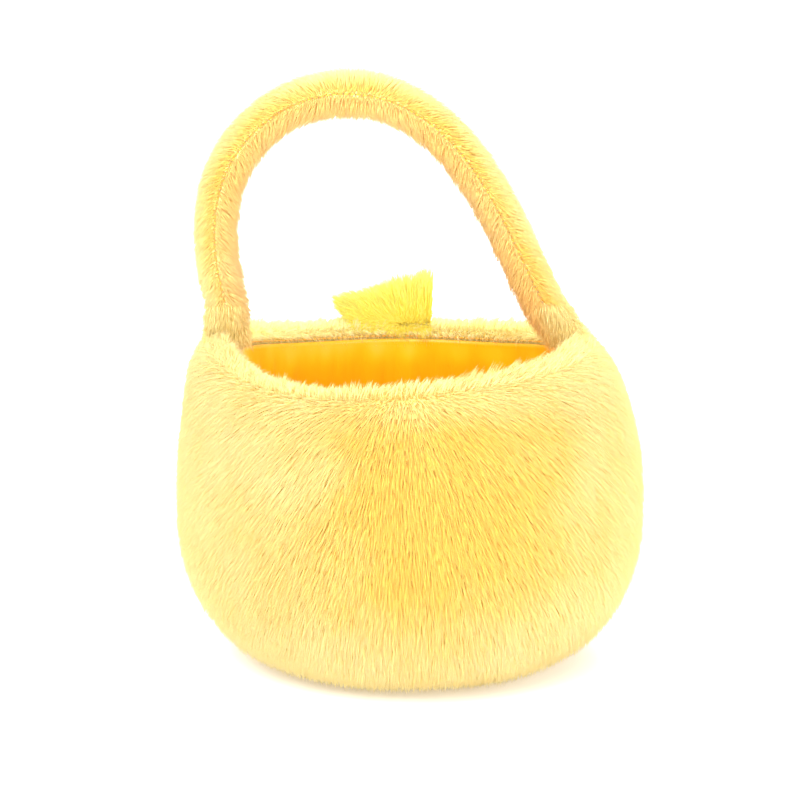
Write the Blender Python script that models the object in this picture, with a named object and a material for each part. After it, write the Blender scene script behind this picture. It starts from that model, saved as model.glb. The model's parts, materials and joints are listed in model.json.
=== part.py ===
"""Plush easter basket: a soft round tub of faux fur over foam, lined with satin, with a stuffed fur
handle sewn into its side seams and a tuft of long fur sewn into the front of its rim.

Frame: metres, +Z up, origin on the floor under the belly's centre. The handle's roots lie on the X axis,
-X to the left, and the tuft is at +Y.
"""

import math

import bmesh
import bpy
from mathutils import Matrix, Vector

MM = 0.001

# Driving dimensions
BELLY_R = 117.5 * MM  # the fur's outer radius where the tub is widest
BELLY_Z = 72 * MM
BASE_R = 60 * MM  # the flat foot that the tub stands on
RIM_R = 88 * MM  # the crest of the rolled rim
RIM_Z = 165 * MM  # the rim's crest beside the handle
MOUTH_R = 79 * MM  # where the rolled rim meets the lining
RIM_DROP = 10 * MM  # how far the rim sags between the handle's roots
RIM_SKEW = 4.5 * MM  # the back rim sags more to the left than to the right
RIM_SHIFT = -7 * MM  # the mouth sits this far off the belly's centre
SHOULDER_POWER = 2.15  # 2 would make the shoulder a plain ellipse

PILE = 7 * MM  # fur with its backing
RIM_PILE = 5 * MM
LINING = 0.8 * MM
LINING_BELLY_R = 97 * MM
LINING_FOOT_R = 56 * MM
BOARD = 2 * MM
BASE_FOAM = 6.4 * MM

GAP = 0.3 * MM  # what sewn neighbours keep between them
EASE = 1 * MM
SEAM_DEPTH = 4 * MM  # how deep in the pile the fur's seams lie
THREAD_R = 0.55 * MM
FINE_THREAD_R = 0.4 * MM
PADDING_NECK = 3.6 * MM  # the foam's thickness at its top
PADDING_STOPS = 3.2 * MM  # how far it stays under the rolled rim's backing

HANDLE_X = -9 * MM  # the middle of the handle's roots
HANDLE_SPAN = 82 * MM  # half the distance between them
HANDLE_Z = 169.5 * MM  # the height of the cloth hinge at each root
HANDLE_LIFT = 1.2 * MM  # the handle's ends stand this far above the hinge
HANDLE_RISE = 112.5 * MM  # from the ends to the crown's centre line
HANDLE_LEAN = -22.1 * MM  # how far the crown leans from the middle of the roots
HANDLE_TAPER = 0.12  # how much the arch closes in towards its crown
TAPER_POWER = 0.43  # under 1, most of that comes low in the arch
HANDLE_POWER = 2.7  # 2 would make the arch an ellipse
LEAN_POWER = 2.15  # over 1, most of the lean comes low in the arch
HANDLE_R = 11.5 * MM
HANDLE_BORE = 5.6 * MM
HANDLE_END = 26 * MM  # the length over which the tube is pressed flat for sewing
HANDLE_FLAT = 0.3  # its thickness at the very end, as a share of the full one

TAB_R = 85.5 * MM  # how far the tab's middle stands from the mouth's centre
TAB_WIDTH = 9 * MM
TAB_THICK = 2.4 * MM
TAB_DEPTH = 20 * MM
TAB_STANDS = 1.6 * MM  # how far the tab ends below the hinge

TUFT_X = -7 * MM
TUFT_HALF_WIDTH = 19 * MM
TUFT_HEIGHT = 26 * MM
TUFT_LEAN = -11 * MM
TUFT_HALF_DEPTH = 9 * MM
TUFT_CLEAR = 3.2 * MM  # between the rim's crest and the tuft's foot
TAPE_HALF_ANGLE = math.radians(11.5)
TAPE_THICK = 1.8 * MM
TAPE_DEPTH = 10 * MM
TAPE_STANDS = 1.3 * MM  # how far it stands out of the rim, up to the tuft's hinge

# Mesh fineness
PANEL_STEPS = 18
RING_STEPS = 40
ARC_STEPS = 5
HANDLE_STEPS = 28
THREAD_SIDES = 6
TAB_STEPS = 4
TAPE_STEPS = 6
TUFT_LEVELS = 8
TUFT_SIDES = 16

# Each material's colour and roughness
FINISHES = {
    "body_fur": ((0.95, 0.72, 0.24), 0.95),
    "tuft_fur": ((0.98, 0.90, 0.12), 0.95),
    "satin_lining": ((0.96, 0.52, 0.02), 0.45),
    "foam": ((0.90, 0.88, 0.82), 0.9),
    "board": ((0.55, 0.42, 0.28), 0.8),
    "thread": ((0.93, 0.65, 0.18), 0.7),
}


# The tub's shape

def smooth(value):
    value = min(max(value, 0.0), 1.0)
    return value * value * (3 - 2 * value)


def rim_height(theta):
    """Height of the rim's crest at an angle round the tub; 0 is +X and -90 degrees is the back."""
    raised = math.cos(theta) ** 4
    skew = RIM_SKEW * math.sin(2 * theta) * max(0.0, -math.sin(theta))
    return RIM_Z - RIM_DROP * (1 - raised) - skew


def place(r, z, theta):
    """The point of the tub at radius r and nominal height z, with the rim's sag and shift."""
    share = max(0.0, (z - BELLY_Z) / (RIM_Z - BELLY_Z))
    sag = (rim_height(theta) - RIM_Z) * share * share
    shift = RIM_SHIFT * share ** 3
    return Vector((shift + r * math.cos(theta), r * math.sin(theta), z + sag))


def quarter(centre, reach, rise, start, end, steps=ARC_STEPS, power=2.0):
    """Points (r, z) of a superellipse's arc from start to end degrees, where 0 is outwards and 90 is up."""
    points = []
    for i in range(steps + 1):
        angle = math.radians(start + (end - start) * i / steps)
        c, s = math.cos(angle), math.sin(angle)
        r = math.copysign(abs(c) ** (2 / power), c) * reach
        z = math.copysign(abs(s) ** (2 / power), s) * rise
        points.append((centre[0] + r, centre[1] + z))
    return points


def inset(outline, depth):
    """The outline moved inwards by depth(share), share running from 0 to 1 along its points.

    No point moves nearer to the axis than the outline's foot.
    """
    moved = []
    last = len(outline) - 1
    foot = outline[0][0]
    for i, (r, z) in enumerate(outline):
        before, after = outline[max(i - 1, 0)], outline[min(i + 1, last)]
        run, rise = after[0] - before[0], after[1] - before[1]
        length = math.hypot(run, rise)
        d = depth(i / last)
        moved.append((max(r - rise / length * d, foot), z + run / length * d))
    return moved


def fur_outline():
    """The fur's outer outline, from the foot round the belly and over the rim to the mouth."""
    foot_edge = BASE_R + THREAD_R + GAP
    corner = quarter((foot_edge, BELLY_Z), BELLY_R - foot_edge, BELLY_Z, -90, 0)
    shoulder = quarter((RIM_R, BELLY_Z), BELLY_R - RIM_R, RIM_Z - BELLY_Z, 0, 90, 8, SHOULDER_POWER)
    roll = RIM_R - MOUTH_R
    lip = quarter((RIM_R, RIM_Z - roll), roll, roll, 90, 180, 4)
    return corner + shoulder[1:] + lip[1:]


def pile_depth(share):
    return PILE + (RIM_PILE - PILE) * smooth((share - 0.55) / 0.3)


def lining_outline():
    """The lining's outer face, from its foot up to the seam under the rolled rim."""
    foot_z = PILE + GAP + BOARD + GAP + BASE_FOAM + GAP
    belly = (LINING_FOOT_R + FINE_THREAD_R + GAP, BELLY_Z + 6 * MM)
    corner = quarter(belly, LINING_BELLY_R - belly[0], belly[1] - foot_z, -90, 0)
    top = RIM_Z - (RIM_R - MOUTH_R) - 2 * (THREAD_R + GAP)
    throat = []
    for i in range(1, ARC_STEPS + 1):
        share = i / ARC_STEPS
        closing = smooth(share) * (LINING_BELLY_R - MOUTH_R - LINING)
        throat.append((LINING_BELLY_R - closing, belly[1] + share * (top - belly[1])))
    return corner + throat


# Solids

def finish_material(finish):
    """The material of that name, made the first time that it is asked for."""
    found = bpy.data.materials.get(finish)
    if found:
        return found
    colour, roughness = FINISHES[finish]
    made = bpy.data.materials.new(finish)
    made.use_nodes = True
    shader = made.node_tree.nodes["Principled BSDF"]
    shader.inputs["Base Color"].default_value = (*colour, 1)
    shader.inputs["Roughness"].default_value = roughness
    shader.inputs["Metallic"].default_value = 0
    return made


def solid(name, build, finish):
    """A mesh object of the closed bmesh, with its faces out, shaded smooth and given its material."""
    bmesh.ops.recalc_face_normals(build, faces=build.faces)
    mesh = bpy.data.meshes.new(name)
    build.to_mesh(mesh)
    build.free()
    mesh.shade_smooth()
    mesh.set_sharp_from_angle(angle=math.radians(45))
    mesh.materials.append(finish_material(finish))
    made = bpy.data.objects.new(name, mesh)
    bpy.context.scene.collection.objects.link(made)
    return made


def loft(name, rings, finish, closed=False):
    """A solid through rings of points. It ends in two flat caps, or joins up if closed."""
    build = bmesh.new()
    made = [[build.verts.new(point) for point in ring] for ring in rings]
    pairs = list(zip(made, made[1:]))
    if closed:
        pairs.append((made[-1], made[0]))
    for near, far in pairs:
        count = len(near)
        for i in range(count):
            build.faces.new((near[i], near[(i + 1) % count], far[(i + 1) % count], far[i]))
    if not closed:
        build.faces.new(reversed(made[0]))
        build.faces.new(made[-1])
    return solid(name, build, finish)


def turned(name, section, finish):
    """A solid of the closed section (r, z), turned all the way round the tub."""
    angles = [2 * math.pi * i / RING_STEPS for i in range(RING_STEPS)]
    return loft(name, [[place(r, z, a) for r, z in section] for a in angles], finish, closed=True)


def panel(name, section, side, seam, finish):
    """Half of a turned solid: side +1 is the front and -1 the back. It ends seam short of the side seams."""
    rings = []
    for i in range(PANEL_STEPS + 1):
        ring = []
        for r, z in section:
            short = math.asin(seam / r)
            angle = short + (math.pi - 2 * short) * i / PANEL_STEPS
            ring.append(place(r, z, side * angle))
        rings.append(ring)
    return loft(name, rings, finish)


def disc(name, radius, bottom, thickness, finish):
    build = bmesh.new()
    bmesh.ops.create_cone(build, cap_ends=True, segments=RING_STEPS, radius1=radius, radius2=radius,
                          depth=thickness)
    bmesh.ops.translate(build, verts=build.verts, vec=(0, 0, bottom + thickness / 2))
    return solid(name, build, finish)


def circle(radius, sides=THREAD_SIDES):
    turns = [2 * math.pi * i / sides for i in range(sides)]
    return [(radius * math.cos(turn), radius * math.sin(turn)) for turn in turns]


def around(centre, radius):
    """A thread's round section about a point of the turned outline."""
    return [(centre[0] + r, centre[1] + z) for r, z in circle(radius)]


def upright_thread(name, route, radius, finish):
    """A thread along the route's points, which lie in the plane of the side seams."""
    rings = []
    last = len(route) - 1
    for i, point in enumerate(route):
        along = (route[min(i + 1, last)] - route[max(i - 1, 0)]).normalized()
        side = Vector((0, 1, 0))
        up = along.cross(side)
        rings.append([point + side * a + up * b for a, b in circle(radius)])
    return loft(name, rings, finish)


def cut(target, cutter):
    cutter.hide_render = True
    cutter.display_type = "WIRE"
    boolean = target.modifiers.new("cut_" + cutter.name, "BOOLEAN")
    boolean.operation = "DIFFERENCE"
    boolean.object = cutter


def hang_from(name, axis_point, pieces):
    """An empty on a hinge's axis, which carries the pieces that swing about it."""
    pivot = bpy.data.objects.new(name, None)
    pivot.location = axis_point
    bpy.context.scene.collection.objects.link(pivot)
    for piece in pieces:
        piece.data.transform(Matrix.Translation(-axis_point))
        piece.parent = pivot


# The tub

def fur_panels():
    outline = fur_outline()
    section = outline + inset(outline, pile_depth)[::-1]
    seam = THREAD_R + GAP
    return [panel("back_fur_panel", section, -1, seam, "body_fur"),
            panel("front_fur_panel", section, 1, seam, "body_fur")]


def from_radius(outline, radius):
    """The part of the outline beyond the radius, starting exactly on it."""
    first = next(i for i, point in enumerate(outline) if point[0] > radius)
    (r0, z0), (r1, z1) = outline[first - 1], outline[first]
    return [(radius, z0 + (z1 - z0) * (radius - r0) / (r1 - r0))] + outline[first:]


def padding_section():
    """The foam between the fur's backing and the lining. It stops under the rolled rim."""
    foot = BASE_R + GAP
    head = (RIM_R - EASE, RIM_Z - RIM_PILE - PADDING_STOPS)
    outer = inset(fur_outline(), lambda share: pile_depth(share) + GAP)
    outer = [p for p in outer if p[0] > RIM_R + EASE or p[1] < BELLY_Z]
    inner = from_radius(inset(lining_outline(), lambda share: -GAP), foot)
    neck = (inner[-1][0] + PADDING_NECK, inner[-1][1])
    return [(foot, outer[0][1])] + outer + [head, neck] + inner[::-1]


def paddings():
    section = padding_section()
    return [panel("back_wall_padding", section, -1, GAP, "foam"),
            panel("front_wall_padding", section, 1, GAP, "foam")]


def linings():
    outline = lining_outline()
    section = outline + inset(outline, lambda share: LINING)[::-1]
    seam = FINE_THREAD_R + GAP
    return [panel("back_lining_panel", section, -1, seam, "satin_lining"),
            panel("front_lining_panel", section, 1, seam, "satin_lining")]


def base_layers():
    """The discs of the floor, from the fur it stands on up to the lining."""
    layers = (("base_fur_panel", BASE_R - THREAD_R - GAP, PILE, "body_fur"),
              ("base_board", BASE_R - EASE, BOARD, "board"),
              ("base_padding", BASE_R - EASE, BASE_FOAM, "foam"),
              ("base_lining_panel", LINING_FOOT_R - FINE_THREAD_R - GAP, LINING, "satin_lining"))
    bottom = 0.0
    for name, radius, thickness, finish in layers:
        disc(name, radius, bottom, thickness, finish)
        bottom += thickness + GAP


def tub_threads():
    """The seam threads: three rings, and one up each side of the fur and of the lining."""
    rim_seam = (MOUTH_R + THREAD_R, RIM_Z - (RIM_R - MOUTH_R) - THREAD_R - GAP)
    lining_base_seam = (LINING_FOOT_R, lining_outline()[0][1] + LINING / 2)
    turned("base_seam_thread", around((BASE_R, SEAM_DEPTH), THREAD_R), "thread")
    turned("rim_seam_thread", around(rim_seam, THREAD_R), "thread")
    turned("lining_base_seam_thread", around(lining_base_seam, FINE_THREAD_R), "thread")
    below_tab = slice(1, -6)
    fur_seam = inset(fur_outline(), lambda share: SEAM_DEPTH)[below_tab]
    lining_seam = inset(lining_outline(), lambda share: LINING / 2)[1:]
    for side, theta in (("left", math.pi), ("right", 0.0)):
        fur_route = [place(r, z, theta) for r, z in fur_seam]
        lining_route = [place(r, z, theta) for r, z in lining_seam]
        upright_thread(side + "_side_seam_thread", fur_route, THREAD_R, "thread")
        upright_thread("lining_" + side + "_seam_thread", lining_route, FINE_THREAD_R, "thread")


# The handle

def handle_line():
    """Points along the arch's centre line, evenly spaced, from the left root to the right one."""
    fine = []
    count = 25 * HANDLE_STEPS
    for i in range(count + 1):
        angle = math.pi * i / count
        share = math.sin(angle) ** (2 / HANDLE_POWER) if 0 < i < count else 0.0
        centre = HANDLE_X + HANDLE_LEAN * (1 - (1 - share) ** LEAN_POWER)
        half = HANDLE_SPAN * math.cos(angle) * (1 - HANDLE_TAPER * share ** TAPER_POWER)
        fine.append(Vector((centre - half, 0, HANDLE_Z + HANDLE_LIFT + HANDLE_RISE * share)))
    lengths = [0.0]
    for before, after in zip(fine, fine[1:]):
        lengths.append(lengths[-1] + (after - before).length)
    even = []
    j = 0
    for i in range(HANDLE_STEPS + 1):
        wanted = lengths[-1] * i / HANDLE_STEPS
        while j < count - 1 and lengths[j + 1] < wanted:
            j += 1
        part = (wanted - lengths[j]) / (lengths[j + 1] - lengths[j])
        even.append(fine[j].lerp(fine[j + 1], part))
    return even, lengths[-1]


def handle_rings(profile):
    """The profile's points (outward, fore and aft) along the arch, pressed flat and level at both ends."""
    line, length = handle_line()
    rings = []
    last = len(line) - 1
    for i, point in enumerate(line):
        along = (line[min(i + 1, last)] - line[max(i - 1, 0)]).normalized()
        if i in (0, last):
            along = Vector((0, 0, 1 if i == 0 else -1))
        outward = Vector((0, 1, 0)).cross(along)
        from_end = min(i, last - i) / last * length
        flat = HANDLE_FLAT + (1 - HANDLE_FLAT) * smooth(from_end / HANDLE_END)
        rings.append([point + outward * -n + Vector((0, y * flat, 0)) for n, y in profile])
    return rings


def half_tube(side):
    """Half of the tube's section: side 1 is the outer strip and -1 the inner one."""
    slit = THREAD_R + GAP
    steps = 7
    outer, inner = [], []
    for i in range(steps + 1):
        angle = math.radians(-90 + 180 * i / steps)
        n, y = math.cos(angle), math.sin(angle)
        outer.append((side * (slit + (HANDLE_R - slit) * n), (HANDLE_R - slit) * y))
        inner.append((side * (slit + HANDLE_BORE * n), HANDLE_BORE * y))
    return outer + inner[::-1]


def handle():
    """Two fur strips sewn along their edges round a roll of stuffing."""
    stuffing = [(n * 1.05, y * 0.93) for n, y in circle(HANDLE_BORE, 8)]
    seam_y = (HANDLE_R + HANDLE_BORE) / 2
    back_seam = [(n, y - seam_y) for n, y in circle(THREAD_R)]
    front_seam = [(n, y + seam_y) for n, y in circle(THREAD_R)]
    profiles = (("handle_outer_strip", half_tube(1), "body_fur"),
                ("handle_inner_strip", half_tube(-1), "body_fur"),
                ("handle_stuffing", stuffing, "foam"),
                ("handle_back_seam_thread", back_seam, "thread"),
                ("handle_front_seam_thread", front_seam, "thread"))
    pieces = [loft(name, handle_rings(profile), finish) for name, profile, finish in profiles]
    hang_from("handle_hinge", Vector((HANDLE_X, 0, HANDLE_Z)), pieces)


def flat_tab(name, theta, grow=0.0):
    """A flat tab that stands in the side seam and follows the wall's slant."""
    inner, outer = TAB_R - TAB_WIDTH / 2 - grow, TAB_R + TAB_WIDTH / 2 + grow
    half = TAB_THICK / 2 + grow
    low, high = HANDLE_Z - TAB_STANDS - TAB_DEPTH - grow, HANDLE_Z - TAB_STANDS + grow
    rings = []
    for i in range(TAB_STEPS + 1):
        ring = []
        for r, y in ((inner, -half), (outer, -half), (outer, half), (inner, half)):
            point = place(r, low + (high - low) * i / TAB_STEPS, theta)
            point.y = y
            ring.append(point)
        rings.append(ring)
    return loft(name, rings, "body_fur")


def handle_tabs(sewn_into):
    """The handle's flattened ends, sewn into the tops of the side seams."""
    for name, theta in (("left_handle_tab", math.pi), ("right_handle_tab", 0.0)):
        flat_tab(name, theta)
        slot = flat_tab(name + "_slot", theta, GAP)
        for piece in sewn_into:
            cut(piece, slot)


# The tuft

def tape_arc(name, grow=0.0):
    """The tape stands on edge in the rim, under the tuft, as a short stretch of a turned solid."""
    half, low, high = TAPE_THICK / 2 + grow, RIM_Z - TAPE_DEPTH - grow, RIM_Z + TAPE_STANDS + grow
    section = [(RIM_R - half, low), (RIM_R + half, low), (RIM_R + half, high), (RIM_R - half, high)]
    middle = math.pi / 2 - TUFT_X / RIM_R
    reach = TAPE_HALF_ANGLE + grow / RIM_R
    angles = [middle + reach * (2 * i / TAPE_STEPS - 1) for i in range(TAPE_STEPS + 1)]
    return loft(name, [[place(r, z, a) for r, z in section] for a in angles], "tuft_fur")


def fan():
    """The tuft's pile: narrow at its foot, fuller above, leaning left and highest on the right."""
    foot = Vector((TUFT_X, RIM_R - EASE, rim_height(math.pi / 2) + TUFT_CLEAR))
    rings = []
    for i in range(TUFT_LEVELS + 1):
        share = i / TUFT_LEVELS
        half_width = TUFT_HALF_WIDTH * (1 + 0.5 * share) * math.sqrt(1 - 0.72 * share ** 4)
        half_depth = TUFT_HALF_DEPTH * (0.39 + 0.61 * math.sin(math.pi * (0.08 + 0.80 * share)))
        centre = foot + Vector((TUFT_LEAN * share, 0, 0))
        ring = []
        for k in range(TUFT_SIDES):
            angle = 2 * math.pi * k / TUFT_SIDES
            x, y = math.cos(angle), math.sin(angle)
            height = TUFT_HEIGHT * share * (1 + 0.16 * share * x)
            ring.append(centre + Vector((half_width * x, half_depth * y, height)))
        rings.append(ring)
    return loft("tuft", rings, "tuft_fur")


def tuft(sewn_into):
    """A fan of long pile, and the tape that holds its roots in the rim."""
    tape_arc("tuft_tape")
    slot = tape_arc("tuft_tape_slot", GAP)
    for piece in sewn_into:
        cut(piece, slot)
    hinge = Vector((TUFT_X, RIM_R - EASE, rim_height(math.pi / 2) + TAPE_STANDS))
    hang_from("tuft_hinge", hinge, [fan()])


def main():
    for old in list(bpy.data.objects):
        bpy.data.objects.remove(old)
    furs = fur_panels()
    foams = paddings()
    linings()
    base_layers()
    tub_threads()
    handle()
    handle_tabs(furs + foams)
    tuft([furs[1], foams[1]])


main()
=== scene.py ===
"""The looks of the plush easter basket: combed faux fur on the tub and on the stuffed handle, a satin
lining with its seams, and the lemon tuft on the front rim.

Metres, +Z up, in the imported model's own frame.
"""

import json
import math

import bpy
import numpy as np
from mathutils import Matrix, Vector, noise


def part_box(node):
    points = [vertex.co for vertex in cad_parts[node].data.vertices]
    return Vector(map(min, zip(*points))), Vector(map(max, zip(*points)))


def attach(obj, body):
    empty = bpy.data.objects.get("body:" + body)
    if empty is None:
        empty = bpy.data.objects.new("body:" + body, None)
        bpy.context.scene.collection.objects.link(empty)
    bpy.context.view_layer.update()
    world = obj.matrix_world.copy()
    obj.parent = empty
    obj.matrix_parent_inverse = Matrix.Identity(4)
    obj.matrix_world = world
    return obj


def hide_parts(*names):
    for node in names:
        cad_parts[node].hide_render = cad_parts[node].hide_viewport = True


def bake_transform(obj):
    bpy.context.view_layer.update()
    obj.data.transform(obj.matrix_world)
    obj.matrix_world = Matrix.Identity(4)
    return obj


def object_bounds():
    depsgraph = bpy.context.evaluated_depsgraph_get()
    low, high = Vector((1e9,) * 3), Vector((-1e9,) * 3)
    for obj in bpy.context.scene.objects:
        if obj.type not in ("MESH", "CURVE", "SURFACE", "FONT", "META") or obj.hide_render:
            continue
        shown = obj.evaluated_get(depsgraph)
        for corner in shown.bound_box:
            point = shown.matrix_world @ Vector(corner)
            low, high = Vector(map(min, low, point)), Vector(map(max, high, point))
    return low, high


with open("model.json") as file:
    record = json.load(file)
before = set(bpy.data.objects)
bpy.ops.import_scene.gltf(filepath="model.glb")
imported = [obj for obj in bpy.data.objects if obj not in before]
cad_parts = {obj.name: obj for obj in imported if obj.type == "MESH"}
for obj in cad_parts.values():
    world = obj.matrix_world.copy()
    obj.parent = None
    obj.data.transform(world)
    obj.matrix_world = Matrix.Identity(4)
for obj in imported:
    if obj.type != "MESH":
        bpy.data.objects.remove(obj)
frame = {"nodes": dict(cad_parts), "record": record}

MM = 0.001
cad_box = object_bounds()
joints = {joint["name"]: joint for joint in frame["record"]["behaviour"]["joints"]}

# Sizes read from the frame
BELLY_R = (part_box("back_fur_panel")[1].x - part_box("back_fur_panel")[0].x) / 2
RIM_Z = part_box("back_fur_panel")[1].z
FOOT_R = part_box("base_seam_thread")[1].x
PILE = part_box("base_fur_panel")[1].z
LINING_FOOT_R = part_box("lining_base_seam_thread")[1].x
LINING_FLOOR_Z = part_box("base_lining_panel")[0].z
LINING_BELLY_R = (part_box("back_lining_panel")[1].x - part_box("back_lining_panel")[0].x) / 2
RIM_DROP = RIM_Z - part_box("tuft_tape")[1].z + 1.3 * MM
HANDLE_X, _, HANDLE_Z = joints["handle_swing"]["pos_m"]
TUFT_HINGE = Vector(joints["tuft_flop"]["pos_m"])
CROWN_Z = cad_box[1].z

# Cut and pile
BELLY_Z = 72 * MM
RIM_R = 88 * MM
MOUTH_R = 79 * MM
RIM_SKEW = 4.5 * MM
RIM_SHIFT = -7 * MM
SHOULDER_POWER = 2.15
RIM_PILE = 5 * MM
BACKING = 1.4 * MM  # the knitted backing that the pile stands on
LINING_THICK = 0.5 * MM
FINE_THREAD_R = 0.4 * MM
THREAD_R = 0.55 * MM
GAP = 0.3 * MM
THROAT_Z = RIM_Z - (RIM_R - MOUTH_R) - 2 * (THREAD_R + GAP)

HANDLE_R = 11.5 * MM
HANDLE_BORE = 5.6 * MM
HANDLE_CORE = HANDLE_R - 4.3 * MM  # the radius of its backing
HANDLE_SPAN = 82 * MM
HANDLE_LEAN = -22.1 * MM
HANDLE_TAPER = 0.12
TAPER_POWER = 0.43
HANDLE_POWER = 2.7
LEAN_POWER = 2.15
HANDLE_LIFT = 1.2 * MM
HANDLE_RISE = CROWN_Z - HANDLE_Z - HANDLE_LIFT - HANDLE_R
HANDLE_END = 26 * MM
HANDLE_FLAT = 0.3
HANDLE_COLUMNS = 25
STRIP_GAP = 4  # degrees between a strip's edge and the seam
SEAM_STEPS = 161
CUFF_THICK = 0.7 * MM

# Hairs: how many to a square metre, and how wide
GUARD_DENSITY = 0.44e6
UNDER_DENSITY = 1.20e6
GUARD_WIDTH = 0.40 * MM
UNDER_WIDTH = 0.62 * MM
SECTORS = 8

FLOOR_CLEAR = 0.2 * MM
HAIR_UV = "OFBake"  # the name of the UV map that lay_out_hairs makes, with a square for each hair
SHARE_THROUGH = 0.46  # of the pile's light, what comes through it
SCATTER_GLOW = 0.19  # emission that stands in for light scattered many times between the hairs
# RIM_GLOW: a stronger painted glow for the far rim's fur, which lifts the shade on its inner lip
RIM_GLOW = 0.42


# Node trees

class Socket:
    """A node's output that can be used in arithmetic: each operator adds a Math node."""

    def __init__(self, tree, link):
        self.tree = tree
        self.link = link

    def math(self, operation, *values):
        return self.tree.node("ShaderNodeMath", {"operation": operation}, dict(enumerate(values)))

    def __add__(self, other):
        return self.math("ADD", self, other)

    __radd__ = __add__

    def __sub__(self, other):
        return self.math("SUBTRACT", self, other)

    def __rsub__(self, other):
        return self.math("SUBTRACT", other, self)

    def __mul__(self, other):
        return self.math("MULTIPLY", self, other)

    __rmul__ = __mul__

    def __truediv__(self, other):
        return self.math("DIVIDE", self, other)

    def __rtruediv__(self, other):
        return self.math("DIVIDE", other, self)

    def limited(self):
        return self.tree.node("ShaderNodeClamp", {}, {0: self})


class Tree:
    """A node tree in the making."""

    def __init__(self, nodes_of):
        self.tree = nodes_of

    def node(self, kind, settings=None, values=None, output=0):
        """Adds a node. Settings come first; values go to sockets by name or by place among those in use."""
        made = self.tree.nodes.new(kind)
        for key, value in (settings or {}).items():
            setattr(made, key, value)
        inputs = [s for s in made.inputs if s.enabled]
        for key, value in (values or {}).items():
            socket = inputs[key] if isinstance(key, int) else next(s for s in inputs if s.name == key)
            if isinstance(value, Socket):
                self.tree.links.new(value.link, socket)
            else:
                socket.default_value = value
        outputs = [s for s in made.outputs if s.enabled]
        if not outputs:
            return None
        if isinstance(output, int):
            return Socket(self, outputs[output])
        return tuple(Socket(self, next(s for s in outputs if s.name == name)) for name in output)

    def vector(self, operation, *values):
        return self.node("ShaderNodeVectorMath", {"operation": operation}, dict(enumerate(values)))

    def scaled(self, vector, factor):
        return self.node("ShaderNodeVectorMath", {"operation": "SCALE"}, {"Vector": vector, "Scale": factor})

    def mix(self, factor, a, b):
        return self.node("ShaderNodeMix", {"data_type": "RGBA"}, {"Factor": factor, "A": a, "B": b})

    def noise(self, where, scale, detail=2.0, roughness=0.5):
        values = {"Vector": where, "Scale": scale, "Detail": detail, "Roughness": roughness}
        return self.node("ShaderNodeTexNoise", {}, values)

    def wave(self, where, settings, **values):
        named = {key.capitalize(): value for key, value in values.items()}
        return self.node("ShaderNodeTexWave", settings, {"Vector": where, **named}, output=("Fac",))[0]

    def attribute(self, name):
        return self.node("ShaderNodeAttribute", {"attribute_name": name}, output=("Fac",))[0]

    def place(self):
        return self.node("ShaderNodeTexCoord", output=("Object",))[0]

    def bump(self, height, strength, depth):
        return self.node("ShaderNodeBump", {}, {"Strength": strength, "Distance": depth, "Height": height})

    def finish(self, **values):
        """The surface, one Principled shader, given by its sockets' names."""
        named = {key.replace("_", " ").title(): value for key, value in values.items()}
        finish_surface(self, self.node("ShaderNodeBsdfPrincipled", {}, named))


def rgba(red, green, blue):
    return (red, green, blue, 1)


def new_material(name, colour_shown):
    material = bpy.data.materials.new(name)
    material.use_nodes = True
    material.node_tree.nodes.clear()
    material.diffuse_color = colour_shown
    return material, Tree(material.node_tree)


def finish_surface(tree, shader):
    tree.node("ShaderNodeOutputMaterial", {}, {"Surface": shader})


def new_group(name, sockets, result):
    """A geometry nodes group with its named inputs, as the group, its tree and its inputs' values."""
    group = bpy.data.node_groups.new(name, "GeometryNodeTree")
    for socket, kind in sockets:
        group.interface.new_socket(name=socket, in_out="INPUT", socket_type="NodeSocket" + kind)
    group.interface.new_socket(name=result, in_out="OUTPUT", socket_type="NodeSocketGeometry")
    tree = Tree(group)
    given = group.nodes.new("NodeGroupInput")
    return group, tree, {socket: Socket(tree, given.outputs[socket]) for socket, _ in sockets}


def closed_group(group, tree, geometry, material):
    """The group, ended by smooth shading and Set Material."""
    soft = tree.node("GeometryNodeSetShadeSmooth", {}, {"Geometry": geometry})
    done = tree.node("GeometryNodeSetMaterial", {}, {"Geometry": soft, "Material": material})
    out = group.nodes.new("NodeGroupOutput")
    group.links.new(done.link, out.inputs[0])
    return group


# Materials

def fur_material(name, pale, golden, shine_through, glow, glow_strength=SCATTER_GLOW):
    """Pile: (root, tip) colours where it is pale and where it is golden, and a tone on each hair; glow is
    the colour of a painted glow, an emission that stands in for light scattered between the hairs.
    """
    material, tree = new_material(name, pale[1])
    place_on = tree.place()
    along = tree.attribute("along")
    tone = tree.attribute("tone")
    warm = tree.attribute("warm")
    patches = tree.noise(place_on, 34.0, 2.0)
    warmth = (warm + (patches - 0.5) * 0.9 + (tone - 0.5) * 0.35).limited()
    root = tree.mix(warmth, pale[0], golden[0])
    tip = tree.mix(warmth, pale[1], golden[1])
    colour = tree.mix((along * 1.15 + tone * 0.2 - 0.1).limited(), root, tip)
    surface = tree.node("ShaderNodeBsdfPrincipled", {}, {
        "Base Color": colour, "Roughness": 0.55, "Sheen Weight": 0.3, "Sheen Roughness": 0.4,
        "Sheen Tint": rgba(1, 0.97, 0.75), "Specular IOR Level": 0.3,
        "Emission Color": glow, "Emission Strength": glow_strength})
    through = tree.node("ShaderNodeBsdfTranslucent", {}, {"Color": shine_through})
    finish_surface(tree, tree.node("ShaderNodeMixShader", {}, {0: SHARE_THROUGH, 1: surface, 2: through}))
    return material


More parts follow.
